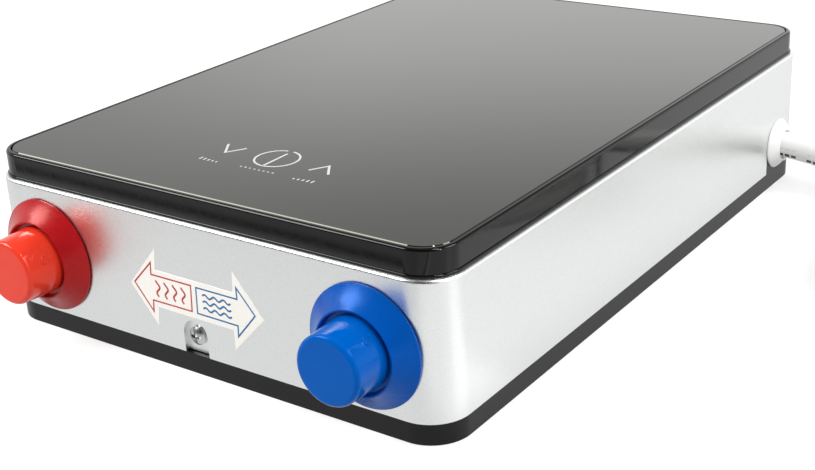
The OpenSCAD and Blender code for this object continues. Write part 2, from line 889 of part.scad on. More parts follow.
// Ring that carries the front end of the turbine's pin
module flow_guide() {
  guide_t = 1.2;
  guide_end = guide_start + guide_l;
  color("#e4e2da") at_port(cold) {
    difference() {
      inside(guide_start, guide_end, chamber_r - close_fit);
      inside(guide_start - over, guide_end + over, chamber_r - close_fit - guide_t);
    }
    spider(guide_start + spider_set, guide_end - spider_set, chamber_r - close_fit - guide_t / 2);
  }
}

module rotor_pin() {
  color("#c4c7ca") at_port(cold) inside(guide_start + close_fit, spider_start + spider_t, pin_r);
}

// Turbine with slanted blades, trimmed to a cylinder
module flow_rotor() {
  rotor_end = rotor_start + rotor_l;
  color("#2c2f33") at_port(cold) difference() {
    union() {
      inside(rotor_start, rotor_end, hub_r);
      intersection() {
        inside(rotor_start + 1, rotor_end - 1, rotor_r);
        for (k = [0:blade_n - 1]) rotate(360 * k / blade_n)
          translate([hub_r / 2, 0, -(rotor_start + rotor_end) / 2]) rotate([blade_tilt, 0, 0])
            translate([0, -blade_t / 2, -rotor_l]) cube([rotor_r, blade_t, 2 * rotor_l]);
      }
    }
    inside(rotor_start - over, rotor_end + over, pin_r + run_fit);
  }
}

module hall_sensor() {
  size = [14, 6, 12];
  middle = rotor_start + rotor_l / 2;
  color("#1d1e20") at_port(cold) difference() {
    translate([-size[0] / 2, 0, -middle - size[2] / 2]) cube([size[0], sensor_r + size[1], size[2]]);
    inside(sensor_start, sensor_end, sensor_r + close_fit);
  }
}

module inlet_tube() {
  color("#c87f4a") at_port(cold) difference() {
    inside(sensor_end - socket_l + fit, tube_end, tube_r);
    inside(sensor_start, tube_end + over, tube_in_r);
  }
}

// Hot tube with a bell over the connector's tail and a boss for the probe
module outlet_tube() {
  bell_in = tail_r + close_fit;
  bell_start = hex_back + 0.5;
  bell_end = nipple_back + 1;
  color("#c87f4a") at_port(hot) difference() {
    union() {
      rotate_extrude() polygon([[bell_in, -bell_start], [bell_in + bell_t, -bell_start],
        [bell_in + bell_t, -bell_end], [tube_r, -bell_end - cone_l], [tube_r, -tube_end],
        [tube_in_r, -tube_end], [tube_in_r, -bell_end - cone_l], [bell_in, -bell_end]]);
      translate([0, tube_in_r + 0.4, -probe_in]) rotate([-90, 0, 0])
        cylinder(h = tube_t + boss_rise, r = probe_head_r + 1);
    }
    translate([0, 0, -probe_in]) rotate([-90, 0, 0])
      cylinder(h = tube_r + boss_rise + over, r = probe_r + close_fit);
  }
}

module temperature_probe() {
  dip = 4;
  head_h = 4;
  top = tube_in_r + 0.4 + tube_t + boss_rise;
  color("#e8e6e0") at_port(hot) translate([0, 0, -probe_in]) rotate([-90, 0, 0]) {
    translate([0, 0, tube_in_r - dip]) cylinder(h = top - tube_in_r + dip, r = probe_r);
    translate([0, 0, top]) cylinder(h = head_h, r = probe_head_r);
  }
}

// Cast block: sockets at the connector end, waterway running back and across, lugs and ribs
module heater_block() {
  cross_y = heater_back - waterway_end;
  color("#a9acae") difference() {
    union() {
      translate([front_x, (heater_y + heater_back) / 2, heater_low])
        linear_extrude(heater_h) rounded_rect(heater_w, heater_l, heater_round);
      at_lugs() translate([0, 0, heater_low]) cylinder(h = lug_t, r = lug_r);
      for (x = [-1, 1], y = [heater_y - lug_out, heater_back - heater_round])
        translate([front_x + x * lug_x - lug_r, y, heater_low])
          cube([2 * lug_r, lug_out + heater_round, lug_t]);
      for (k = [0:rib_n - 1])
        translate([front_x + (k - (rib_n - 1) / 2) * rib_pitch, heater_back - heater_round, heater_top])
          rotate([90, 0, 0]) cylinder(h = heater_l / 2, r = rib_r);
    }
    for (side = [hot, cold]) at_port(side) {
      inside(heater_gap - over, heater_gap + socket_l, tube_r + close_fit);
      inside(heater_gap, heater_gap + heater_l - waterway_end, tube_in_r);
    }
    translate([front_x - port_pitch / 2, cross_y, port_z]) rotate([0, 90, 0])
      cylinder(h = port_pitch, r = tube_in_r);
    at_lugs() translate([0, 0, heater_low - over])
      cylinder(h = lug_t + 2 * over, r = heater_screw[2] + fit);
    at_terminals() rotate([90, 0, 0]) cylinder(h = terminal_l, r = terminal_r + close_fit);
    at_cutout_screws() translate([0, 0, -small_screw[3]])
      cylinder(h = small_screw[3] + over, r = small_screw[2] + run_fit);
    at_triac_screw() translate([0, 0, -small_screw[3]])
      cylinder(h = small_screw[3] + over, r = small_screw[2] + run_fit);
  }
}

module heater_screws() {
  color("#8c8f92") at_lugs() translate([0, 0, heater_low + lug_t])
    screw(heater_screw);
}

module at_terminals() {
  for (x = terminal_x) translate([front_x + x, heater_back, port_z]) children();
}

module element_terminals() {
  color("#dcd8cc") at_terminals() {
    rotate([-90, 0, 0]) cylinder(h = terminal_base_l, r = terminal_base_r);
    translate([0, -terminal_l + fit, 0]) rotate([-90, 0, 0])
      cylinder(h = 2 * terminal_l - fit, r = terminal_r);
  }
}

// Insulated leads from the element's terminals to the relays, arching over the board's edge
module heater_leads() {
  start_y = heater_back + terminal_l;
  end_y = relay_y;
  relay_top = board_top + relay_size[2];
  rise = relay_top + 2.4 * lead_d;
  reach = end_y - start_y;
  color("#b23a2c") for (x = terminal_x) translate([front_x + x, 0, 0])
    swept_tube([[0, start_y, port_z], [0, start_y + 1.3 * lead_d, port_z],
      [0, start_y + 0.3 * reach, rise - lead_d], [0, start_y + 0.5 * reach, rise],
      [0, end_y - 2.7 * lead_d, rise], [0, end_y - 0.8 * lead_d, rise - 0.7 * lead_d],
      [0, end_y, relay_top + lead_d], [0, end_y, relay_top]], lead_d / 2, 8, [1, 0, 0]);
}

module at_cutout_screws() {
  for (x = [-1, 1]) translate([front_x + x * cutout_ear, cutout_y, heater_top]) children();
}

// Disc thermostat with two ears and a guide bore for its reset button
module thermal_cutout() {
  bore_depth = button_in + button_travel + fit;
  color("#1f2022") difference() {
    union() {
      translate([front_x, cutout_y, heater_top]) {
        cylinder(h = cutout_h, r = cutout_r);
        translate([-cutout_ear, -cutout_ear_r, 0])
          cube([2 * cutout_ear, 2 * cutout_ear_r, cutout_ear_t]);
      }
      at_cutout_screws() cylinder(h = cutout_ear_t, r = cutout_ear_r);
    }
    at_cutout_screws() translate([0, 0, -over])
      cylinder(h = cutout_h + over, r = small_screw[2] + fit);
    translate([front_x, cutout_y, heater_top + cutout_h - bore_depth])
      cylinder(h = bore_depth + over, r = button_r + run_fit);
  }
}

module cutout_screws() {
  color("#8c8f92") at_cutout_screws() translate([0, 0, cutout_ear_t]) screw(small_screw);
}

module reset_button() {
  color("#b01818") translate([front_x, cutout_y, heater_top + cutout_h - button_in])
    cylinder(h = button_in + button_up, r = button_r);
}

module at_triac_screw() {
  translate([triac_x, cutout_y + triac_size[1] / 2 - 4, heater_top]) children();
}

// Power switch clamped to the block so that the water cools it
module triac() {
  tab = 5;
  color("#222326") difference() {
    translate([triac_x - triac_size[0] / 2, cutout_y - triac_size[1] / 2, heater_top]) {
      cube(triac_size);
      for (k = [-1:1]) translate([triac_size[0] / 2 + k * tab - triac_leg[0] / 2, -triac_leg[1] + over, 2])
        cube(triac_leg);
    }
    at_triac_screw() translate([0, 0, -over])
      cylinder(h = triac_size[2] + 2 * over, r = small_screw[2] + fit);
  }
}

module triac_screw() {
  color("#8c8f92") at_triac_screw() translate([0, 0, triac_size[2]])
    screw([small_screw[0], small_screw[1], small_screw[2], small_screw[3] + triac_size[2] - fit]);
}

module control_board() {
  color("#1f5a3a") difference() {
    translate([board_left, board_near, board_z]) cube([board_w, board_l, board_t]);
    at_board_holes() translate([0, 0, board_z - over])
      cylinder(h = board_t + 2 * over, r = small_screw[2] + fit);
  }
}

module board_screws() {
  color("#8c8f92") at_board_holes() translate([0, 0, board_top])
    screw(small_screw);
}

module relays() {
  color("#2f5f9a") for (x = terminal_x)
    translate([front_x + x - relay_size[0] / 2, relay_y - relay_size[1] / 2, board_top])
      cube(relay_size);
}

module power_module() {
  color("#141518") translate([module_left, board_near + module_in, board_top]) cube(module_size);
}

// Summation ring round the mains leads, for the leakage cut-off
module leakage_coil() {
  color("#7a4a26") translate([ring_x, gland_y, gland_z]) rotate([0, 90, 0]) difference() {
    cylinder(h = ring_l, r = ring_r);
    translate([0, 0, -over]) cylinder(h = ring_l + 2 * over, r = ring_bore);
  }
}

module terminal_block() {
  clamp_r = 1.1;
  color("#3c7a4a") difference() {
    translate([block_left, gland_y - block_size[1] / 2, board_top]) cube(block_size);
    for (k = [-1:1]) translate([block_left + block_size[0] / 2, gland_y + k * lead_gap, board_top + 3])
      cylinder(h = block_size[2], r = clamp_r);
  }
}

module mains_leads() {
  start = block_left + block_size[0];
  color("#8a5a2c") for (k = [-1:1]) translate([start, gland_y + k * lead_gap, gland_z])
    rotate([0, 90, 0]) cylinder(h = cord_route[0][0] - start, r = lead_r);
}

module touch_board() {
  color("#1f5a3a") difference() {
    translate([-touch_w / 2, touch_y - touch_l / 2, touch_top - board_t]) cube([touch_w, touch_l, board_t]);
    at_touch_holes() translate([0, 0, touch_top - board_t - over])
      cylinder(h = board_t + 2 * over, r = small_screw[2] + fit);
  }
}

module touch_board_screws() {
  color("#8c8f92") at_touch_holes() translate([0, 0, touch_top - board_t]) mirror([0, 0, 1])
    screw([small_screw[0], small_screw[1], small_screw[2], board_t + touch_gap - 0.5]);
}

// Conductive pads between the touch board and the back of the glass
module touch_pads() {
  color("#4a4c50") at_keys() translate([0, 0, touch_top]) cylinder(h = plate_top - touch_top, r = pad_r);
}

module digit_display() {
  color("#0d0e10") translate([-display_size[0] / 2, display_y - display_size[1] / 2, touch_top])
    cube([display_size[0], display_size[1], plate_top - touch_top - fit]);
}

// Bushing: domed head outside with a flared mouth, groove for the wall, flange and tapered tail inside
module cord_gland() {
  groove = shell_t + fit;
  head = fit / 2;
  mouth = head + gland_edge + dome_h;
  ball_r = (pow(gland_r, 2) + pow(dome_h, 2)) / (2 * dome_h);
  flange_end = groove + gland_flange;
  tail_end = flange_end + gland_tail;
  color("#f2f1ec") at_gland() rotate_extrude() difference() {
    union() {
      polygon([[0, -tail_end], [gland_tip_r, -tail_end], [gland_r, -flange_end], [gland_r, -groove],
        [slot_r - 2 * fit, -groove], [slot_r - 2 * fit, head], [gland_r, head],
        [gland_r, head + gland_edge], [0, head + gland_edge]]);
      intersection() {
        translate([0, mouth - ball_r]) circle(ball_r);
        translate([0, head]) square([gland_r, mouth]);
      }
    }
    translate([0, -tail_end - over]) square([gland_bore, tail_end + mouth + 2 * over]);
    polygon([[0, 0], [gland_bore, 0], [gland_bore + gland_flare, mouth], [0, mouth]]);
  }
}

module cord_clamp() {
  color("#e9e7e0") difference() {
    translate([clamp_x - clamp_l / 2, gland_y - clamp_w / 2, gland_z + clamp_split])
      cube([clamp_l, clamp_w, clamp_h]);
    translate([clamp_x - clamp_l, gland_y, gland_z]) rotate([0, 90, 0])
      cylinder(h = 2 * clamp_l, r = gland_bore);
    at_clamp_screws() translate([0, 0, gland_z])
      cylinder(h = clamp_h + 2 * over, r = small_screw[2] + fit);
  }
}

module clamp_screws() {
  color("#8c8f92") at_clamp_screws() translate([0, 0, gland_z + clamp_split + clamp_h])
    screw([small_screw[0], small_screw[1], small_screw[2], clamp_h + small_screw[3]]);
}

module power_cord() {
  color("#efeeea") swept_tube(cord_route, cord_r, 10, [0, 1, 0]);
}

module cord_coil() {
  echo(coil_least_gap = least_gap(coil_path, coil_rings / 2) - cord_d);
  color("#efeeea") swept_tube(coil_path, cord_r, 6, [0, 0, 1]);
}

// Flat band round the coil's turns where it crosses them, at a share of a turn
module tie(place) {
  passes = [for (k = [0:floor(coil_turns)]) if (place + k <= coil_turns) coil_radius(place + k)];
  low = min(passes) - cord_r - tie_gap;
  high = max(passes) + cord_r + tie_gap;
  bottom = coil_low - cord_r - tie_gap;
  height = cord_d + coil_step + 2 * tie_gap;
  translate([coil_x, coil_y, 0]) rotate(-360 * place)
    translate([tie_w / 2, (low + high) / 2, bottom + height / 2])
    rotate([90, 0, -90]) linear_extrude(tie_w) difference() {
      rounded_rect(high - low + 2 * tie_t, height + 2 * tie_t, tie_round + tie_t);
      rounded_rect(high - low, height, tie_round);
    }
}

module cord_ties() {
  color("#1b1b1d") for (place = tie_places) tie(place);
}

module cord_tail() {
  color("#efeeea") swept_tube(cord_tail_route, cord_r, 10, [0, 0, 1]);
}

// The plug lies with its pins at -Y: its axis runs from the cord's end
module at_plug() {
  translate(plug_at) rotate([90, 0, 0]) children();
}

module at_plug_pins() {
  at_plug() for (x = [-1, 1]) translate([x * plug_pin_pitch / 2, 0, plug_l]) children();
}

module at_plug_earth() {
  at_plug() for (turn = [0, 180]) rotate(turn)
    translate([-earth_w / 2, plug_r - earth_t, plug_l - earth_l]) children();
}

// Moulded plug: tapered strain relief, waisted grip and round head
module plug_body() {
  head_start = plug_l - plug_head;
  color("#efeeea") difference() {
    at_plug() rotate_extrude() difference() {
      polygon([[0, 0], [plug_neck_r, 0], [plug_neck_r + 2, plug_neck_l], [plug_waist_r, plug_neck_l + 3],
        [plug_waist_r, head_start - 3], [plug_r, head_start], [plug_r, plug_l], [0, plug_l]]);
      translate([plug_r, plug_l]) rotate(-90) mirror([0, 1]) edge_cut(plug_round);
    }
    at_plug_pins() inside(-over, plug_pin_in, plug_pin_r + run_fit);
    at_plug_earth() translate([-fit, -fit, 0]) cube([earth_w + 2 * fit, earth_t + over, earth_l + over]);
  }
}

module plug_pins() {
  tip = 1;
  color("#d8d9da") at_plug_pins() {
    inside(tip - plug_pin_l, plug_pin_in - fit, plug_pin_r);
    translate([0, 0, plug_pin_l - tip]) cylinder(h = tip, r1 = plug_pin_r, r2 = plug_pin_r - tip);
  }
}

module plug_earth() {
  color("#d8b866") at_plug_earth() translate([0, 0, fit]) cube([earth_w, earth_t - fit, earth_l - fit]);
}

base_tray();
case_shell();
top_cover();
glass_panel();
case_screws();
cover_screws();
hot_collar();
cold_collar();
hot_cap();
cold_cap();
outlet_nipple();
inlet_nipple();
lock_nuts();
nipple_seals();
inlet_strainer();
flow_housing();
flow_guide();
rotor_pin();
flow_rotor();
hall_sensor();
inlet_tube();
outlet_tube();
temperature_probe();
heater_block();
heater_screws();
element_terminals();
heater_leads();
thermal_cutout();
cutout_screws();
reset_button();
triac();
triac_screw();
control_board();
board_screws();
relays();
power_module();
leakage_coil();
terminal_block();
mains_leads();
touch_board();
touch_board_screws();
touch_pads();
digit_display();
cord_gland();
cord_clamp();
clamp_screws();
power_cord();
cord_coil();
cord_ties();
cord_tail();
plug_body();
plug_pins();
plug_earth();
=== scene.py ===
import bpy
import bmesh
import json
import math
from mathutils import Matrix, Vector


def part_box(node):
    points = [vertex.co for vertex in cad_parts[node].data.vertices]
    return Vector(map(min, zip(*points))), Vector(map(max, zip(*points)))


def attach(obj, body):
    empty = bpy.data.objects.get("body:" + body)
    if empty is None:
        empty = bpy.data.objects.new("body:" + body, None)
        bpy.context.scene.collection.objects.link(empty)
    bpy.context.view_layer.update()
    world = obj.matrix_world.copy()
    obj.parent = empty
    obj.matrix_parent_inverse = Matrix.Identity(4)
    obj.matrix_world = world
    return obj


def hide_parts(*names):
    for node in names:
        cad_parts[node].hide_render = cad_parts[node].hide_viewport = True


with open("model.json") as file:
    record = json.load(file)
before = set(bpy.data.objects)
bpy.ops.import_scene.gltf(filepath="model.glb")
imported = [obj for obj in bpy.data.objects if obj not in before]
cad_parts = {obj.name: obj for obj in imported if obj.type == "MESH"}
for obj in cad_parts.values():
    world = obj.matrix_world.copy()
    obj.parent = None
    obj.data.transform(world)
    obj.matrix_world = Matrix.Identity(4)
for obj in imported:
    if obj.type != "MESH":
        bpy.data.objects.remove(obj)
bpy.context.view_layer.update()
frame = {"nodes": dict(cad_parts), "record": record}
nodes = frame["nodes"]
mm = 0.001
print("frame loaded:", len(nodes), "nodes")


# sRGB hex to the linear colour that Blender's sockets want
def hexColour(code):
    parts = [int(code[i:i + 2], 16) / 255 for i in (1, 3, 5)]
    return [c / 12.92 if c <= 0.04045 else ((c + 0.055) / 1.055) ** 2.4 for c in parts] + [1.0]


white = hexColour("#FFFFFF")


# adds one node, sets its properties and inputs, and links an input that is given a socket
def addNode(tree, kind, inputs=None, **settings):
    node = tree.nodes.new(kind)
    for key, value in settings.items():
        setattr(node, key, value)
    for key, value in (inputs or {}).items():
        if isinstance(value, bpy.types.NodeSocket):
            tree.links.new(value, node.inputs[key])
        else:
            node.inputs[key].default_value = value
    return node


def addObject(name, data):
    obj = bpy.data.objects.new(name, data)
    bpy.context.scene.collection.objects.link(obj)
    return obj


def meshFrom(name, verts, faces, edges=()):
    mesh = bpy.data.meshes.new(name)
    mesh.from_pydata([tuple(v) for v in verts], edges, faces)
    mesh.update()
    return mesh


# gives an object the plain mesh that its modifiers make, and removes them
def settle(obj):
    seen = obj.evaluated_get(bpy.context.evaluated_depsgraph_get())
    mesh = bpy.data.meshes.new_from_object(seen)
    mesh.name = obj.name
    obj.modifiers.clear()
    obj.data = mesh


# Camera: the photograph's viewpoint, from the case's own edges, with its place and near limit in mm
view = dict(place=(309.2, -445.5, 228.5), azimuth=36.14, elevation=22.90, roll=-2.78,
            focalPx=1412.8, widthPx=815, sensor=36.0, near=10.0)


def makeCamera():
    az, el, roll = (math.radians(view[k]) for k in ("azimuth", "elevation", "roll"))
    ahead = Vector((-math.sin(az) * math.cos(el), math.cos(az) * math.cos(el), -math.sin(el)))
    right = ahead.cross(Vector((0, 0, 1))).normalized()
    up = right.cross(ahead)
    across = right * math.cos(roll) + up * math.sin(roll)
    upright = up * math.cos(roll) - right * math.sin(roll)
    data = bpy.data.cameras.new("camera")
    data.sensor_width = view["sensor"]
    data.lens = view["sensor"] * view["focalPx"] / view["widthPx"]
    data.clip_start = view["near"] * mm
    cam = addObject("camera", data)
    turn = Matrix((across, upright, -ahead)).transposed().to_4x4()
    cam.matrix_world = Matrix.Translation(Vector(view["place"]) * mm) @ turn
    bpy.context.scene.camera = cam


makeCamera()
print("camera set")

# Finishes, one for each slot of the record and a few for the caps and prints
# low and high are the ends of the colour's drift, grain, bump and tone are in mm
finishes = {
    # bead-blasted and anodised sheet: soft grey mirror with an even speckle, drawn coarser so that it shows
    "case_silver": dict(name="anodisedAluminium", low="#DCDEDD", high="#E8EAE9", metallic=1.0,
                        rough=0.31, spread=0.05, grain=0.45, bump=0.004, tone=0.6),
    # polished ABS: black with clear reflections
    "black_gloss": dict(name="glossAbs", low="#090908", high="#0D0D0C", rough=0.075, spread=0.02,
                        grain=1.5, bump=0.001, tone=40, ior=1.36),
    # moulded ABS with a fine spark-eroded grain: black with a dull sheen
    "black_matte": dict(name="grainedAbs", low="#0E0E0E", high="#161615", rough=0.34, spread=0.07,
                        grain=0.7, bump=0.02, tone=25, ior=1.30),
    # float glass with black print behind: mirror-like, deep black
    "dark_glass": dict(name="printedGlass", low="#050606", high="#090A0A", rough=0.035, spread=0.01,
                       grain=30.0, bump=0.0, tone=90, ior=1.58, tint="#FAFFE7"),
    # zinc-plated steel: pale grey with small uneven spangle
    "zinc_steel": dict(name="zincPlatedSteel", low="#B4B6B7", high="#CFD1D2", metallic=1.0, rough=0.28,
                       spread=0.08, grain=0.5, bump=0.004, tone=3),
    # moulded ABS of the collars: deep colour, half gloss
    "red_plastic": dict(name="redAbs", low="#A20E16", high="#AE141A", rough=0.27, spread=0.03,
                        grain=3.0, bump=0.006, tone=15, ior=1.38, level=0.85, tint="#FFA298"),
    "blue_plastic": dict(name="blueAbs", low="#004AA0", high="#0052AE", rough=0.27, spread=0.03,
                         grain=3.0, bump=0.006, tone=15, ior=1.38, level=0.9, tint="#5A9CFF"),
    # soft polyethylene of the caps: brighter, with a waxy shine
    "red_cap": dict(name="redPolyethylene", low="#E23622", high="#EC402A", rough=0.13, spread=0.03,
                    grain=4.0, bump=0.03, tone=10, ior=1.38, level=0.85, tint="#FFC4B8"),
    "blue_cap": dict(name="bluePolyethylene", low="#0054AA", high="#005CBA", rough=0.09, spread=0.03,
                     grain=4.0, bump=0.03, tone=10, ior=1.36, level=0.4, tint="#5C9EFF"),
    # turned brass: warm metal with fine tool lines
    "brass": dict(name="turnedBrass", low="#C6A050", high="#D6B468", metallic=1.0, rough=0.26, spread=0.06,
                  grain=0.4, bump=0.003, tone=8, stretch=(0.15, 1.0, 0.15)),
    # moulded nitrile rubber: dull black with a bloom
    "black_rubber": dict(name="nitrileRubber", low="#0E0E0E", high="#191918", rough=0.68, spread=0.08,
                         grain=0.8, bump=0.02, tone=10),
    # natural nylon: off-white, slightly waxy
    "pale_plastic": dict(name="naturalNylon", low="#F8F8F6", high="#FCFCFA", rough=0.4, spread=0.06,
                         grain=1.0, bump=0.008, tone=12),
    # drawn copper tube: lengthwise lines and a warm drift of tarnish
    "copper": dict(name="drawnCopper", low="#B9764C", high="#D69468", metallic=1.0, rough=0.3, spread=0.08,
                   grain=0.6, bump=0.004, tone=12, stretch=(1.0, 0.1, 1.0)),
    # sand-cast aluminium: rough grey skin
    "cast_aluminium": dict(name="castAluminium", low="#9EA0A1", high="#B6B8B9", metallic=1.0, rough=0.55,
                           spread=0.1, grain=1.4, bump=0.08, tone=18),
    # glass-fibre board under solder mask: green with faint tracks
    "circuit_board": dict(name="solderMaskBoard", low="#0F4A2A", high="#1D6A3E", rough=0.34, spread=0.06,
                          grain=0.8, bump=0.01, tone=2.6, stretch=(1.0, 0.2, 1.0)),
    # moulded phenolic and epoxy cases: dark grey, dull
    "component_plastic": dict(name="mouldedPhenolic", low="#141516", high="#222324", rough=0.5, spread=0.07,
                              grain=0.5, bump=0.012, tone=8),
    # glass-filled polyester of the relay cases: mid blue with a soft shine
    "blue_case": dict(name="relayPolyester", low="#1C4B8C", high="#2A60A6", rough=0.36, spread=0.06,
                      grain=0.7, bump=0.006, tone=10),
    # silicone sleeve of the heater's leads: brick red, dull
    "lead_red": dict(name="siliconeSleeve", low="#98261F", high="#B2352A", rough=0.5, spread=0.06,
                     grain=0.6, bump=0.01, tone=10),
    # ring core wound with brown tape: the turns show as bands
    "ring_core": dict(name="tapedCore", low="#5E3C20", high="#82582F", rough=0.48, spread=0.08,
                      grain=2.2, bump=0.05, tone=3, stretch=(1.0, 0.25, 0.25)),
    # extruded soft PVC: plain white with a soft shine
    "cord_white": dict(name="whitePvc", low="#FAFAF8", high="#FEFEFC", rough=0.38, spread=0.06,
                       grain=0.9, bump=0.006, tone=30),
    # nickel-plated brass pins: warm pale metal, quite bright
    "plug_metal": dict(name="nickelPlate", low="#C4C3BF", high="#D8D7D3", metallic=1.0, rough=0.2,
                       spread=0.05, grain=0.5, bump=0.002, tone=6),
    # vinyl label with screen-printed inks: cream white with a soft shine, duller red and blue
    "label_vinyl": dict(name="labelVinyl", low="#F8F4EC", high="#FDFAF4", rough=0.34, spread=0.04,
                        grain=1.2, bump=0.002, tone=20),
    "red_ink": dict(name="redInk", low="#AE1C16", high="#BC2A20", rough=0.42, spread=0.05,
                    grain=0.3, bump=0.001, tone=4),
    "blue_ink": dict(name="blueInk", low="#005E98", high="#086CA6", rough=0.42, spread=0.05,
                     grain=0.3, bump=0.001, tone=4),
    # ceramic print fired on the glass: pale grey-white lines
    "white_ink": dict(name="whitePrint", low="#BFC1BE", high="#CDCFCC", rough=0.2, spread=0.04,
                      grain=0.4, bump=0.001, tone=8),
}
# the noise behind every finish: its detail, and the ends of it that give the least and most rough
noiseLook = dict(grainDetail=3.0, grainRough=0.6, least=0.3, most=0.7, driftDetail=2.0)


# one finish: grain as bump and spread of roughness, and a slow drift of colour
def makeFinish(f):
    n = noiseLook
    mat = bpy.data.materials.new(f["name"])
    mat.use_nodes = True
    tree = mat.node_tree
    tree.nodes.clear()
    coord = addNode(tree, "ShaderNodeTexCoord").outputs["Object"]
    if "stretch" in f:
        coord = addNode(tree, "ShaderNodeMapping", {"Vector": coord, "Scale": f["stretch"]}).outputs[0]
    grain = addNode(tree, "ShaderNodeTexNoise", {"Vector": coord, "Scale": 1 / (f["grain"] * mm),
                                                 "Detail": n["grainDetail"], "Roughness": n["grainRough"]})
    rough = addNode(tree, "ShaderNodeMapRange",
                    {"Value": grain.outputs[0], "From Min": n["least"], "From Max": n["most"],
                     "To Min": f["rough"] - f["spread"], "To Max": f["rough"] + f["spread"]})
    drift = addNode(tree, "ShaderNodeTexNoise", {"Vector": coord, "Scale": 1 / (f["tone"] * mm),
                                                 "Detail": n["driftDetail"]})
    tone = addNode(tree, "ShaderNodeMix",
                   {0: drift.outputs[0], 6: hexColour(f["low"]), 7: hexColour(f["high"])}, data_type="RGBA")
    shader = addNode(tree, "ShaderNodeBsdfPrincipled",
                     {"Base Color": tone.outputs[2], "Roughness": rough.outputs[0],
                      "Metallic": f.get("metallic", 0.0)})
    if "ior" in f:
        shader.inputs["IOR"].default_value = f["ior"]
    if "level" in f:
        shader.inputs["Specular IOR Level"].default_value = f["level"]
    if "tint" in f:
        shader.inputs["Specular Tint"].default_value = hexColour(f["tint"])
    if f["bump"]:
        bump = addNode(tree, "ShaderNodeBump", {"Height": grain.outputs[0], "Distance": f["bump"] * mm})
        tree.links.new(bump.outputs[0], shader.inputs["Normal"])
    addNode(tree, "ShaderNodeOutputMaterial", {"Surface": shader.outputs[0]})
    return mat


finish = {key: makeFinish(f) for key, f in finishes.items()}


# row of short dashes along one side of the cord: lengths in mm, angle and half as shares of a turn
cordPrint = dict(first=33.8, group=12.9, groupLong=8.6, pitch=2.9, dash=2.2, angle=0.092, half=0.026,
                 ink="#1C1C1C")


# inks the dashes over the colour that the cord's finish already has
def printCord(mat):
    c = cordPrint
    tree = mat.node_tree
    shader = next(n for n in tree.nodes if n.type == "BSDF_PRINCIPLED")
    plain = shader.inputs["Base Color"].links[0].from_socket
    place = addNode(tree, "ShaderNodeAttribute", attribute_name="alongCord").outputs["Vector"]
    parts = addNode(tree, "ShaderNodeSeparateXYZ", {0: place})
    along = addNode(tree, "ShaderNodeMath", {0: parts.outputs[0], 1: c["first"] * mm}, operation="SUBTRACT")
    inGroup = addNode(tree, "ShaderNodeMath", {0: along.outputs[0], 1: c["group"] * mm},
                      operation="FLOORED_MODULO")
    group = addNode(tree, "ShaderNodeMath", {0: inGroup.outputs[0], 1: c["groupLong"] * mm},
                    operation="LESS_THAN")
    inDash = addNode(tree, "ShaderNodeMath", {0: inGroup.outputs[0], 1: c["pitch"] * mm},
                     operation="FLOORED_MODULO")
    dash = addNode(tree, "ShaderNodeMath", {0: inDash.outputs[0], 1: c["dash"] * mm}, operation="LESS_THAN")
    side = addNode(tree, "ShaderNodeMath", {0: parts.outputs[1], 1: c["angle"], 2: c["half"]},
                   operation="COMPARE")
    both = addNode(tree, "ShaderNodeMath", {0: group.outputs[0], 1: dash.outputs[0]}, operation="MULTIPLY")
    ink = addNode(tree, "ShaderNodeMath", {0: both.outputs[0], 1: side.outputs[0]}, operation="MULTIPLY")
    mix = addNode(tree, "ShaderNodeMix", {0: ink.outputs[0], 6: plain, 7: hexColour(c["ink"])},
                  data_type="RGBA")
    tree.links.new(mix.outputs[2], shader.inputs["Base Color"])


finish["cord_print"] = makeFinish(dict(finishes["cord_white"], name="printedPvc"))
printCord(finish["cord_print"])
print("finishes made:", len(finish))

# Cord: the route that the solids follow, in mm
cordWay = dict(
    diameter=11.0, sides=28, stepMm=3.0, exit=(96.9, 118.0, 19.0),
    start=[(68, 118, 19), (90, 118, 19), (98, 118, 19), (106, 118, 18.6), (116, 118, 17.4), (128, 118, 15.2),
           (140, 118, 12.7), (152, 118, 10.4), (164, 118, 8.6), (176, 118, 7.4), (188, 118, 6.8),
           (200, 118, 6.7), (212, 118, 6.7)],
    coilMiddle=(223.0, 50.5), coilInner=48.0, coilPitch=12.0, coilTurns=3.25, coilLow=6.7, coilStep=11.7,
    coilClimb=0.5, coilRings=24,
    tail=[(290.5, 39.5, 18.4), (290.5, 30, 18.4), (288.5, 18, 18.4), (283.5, 4, 18.5), (277.5, -9, 18.5),
          (273.5, -20, 18.5), (272, -30, 18.5), (272, -41, 18.5)])


# place on the coil after t turns: it winds inwards, climbs and winds outwards again on top
def coilPoint(t):
    w = cordWay
    half = w["coilTurns"] / 2
    radius = w["coilInner"] + w["coilPitch"] * abs(t - half)
    s = min(max((t - half) / w["coilClimb"] + 0.5, 0), 1)
    height = w["coilLow"] + w["coilStep"] * s * s * (3 - 2 * s)
    turn = 2 * math.pi * t
    x, y = w["coilMiddle"]
    return (x + radius * math.sin(turn), y + radius * math.cos(turn), height)


# even points on a smooth line through the given ones
def smoothRoute(points, stepMm):
    p = [Vector(q) for q in points]
    p = [p[0] * 2 - p[1]] + p + [p[-1] * 2 - p[-2]]
    line = []
    for a, b, c, d in zip(p, p[1:], p[2:], p[3:]):
        count = max(2, round((c - b).length / stepMm))
        for k in range(count):
            t = k / count
            line.append(0.5 * (2 * b + (c - a) * t + (2 * a - 5 * b + 4 * c - d) * t * t
                               + (3 * b - a - 3 * c + d) * t ** 3))
    return line + [p[-2]]


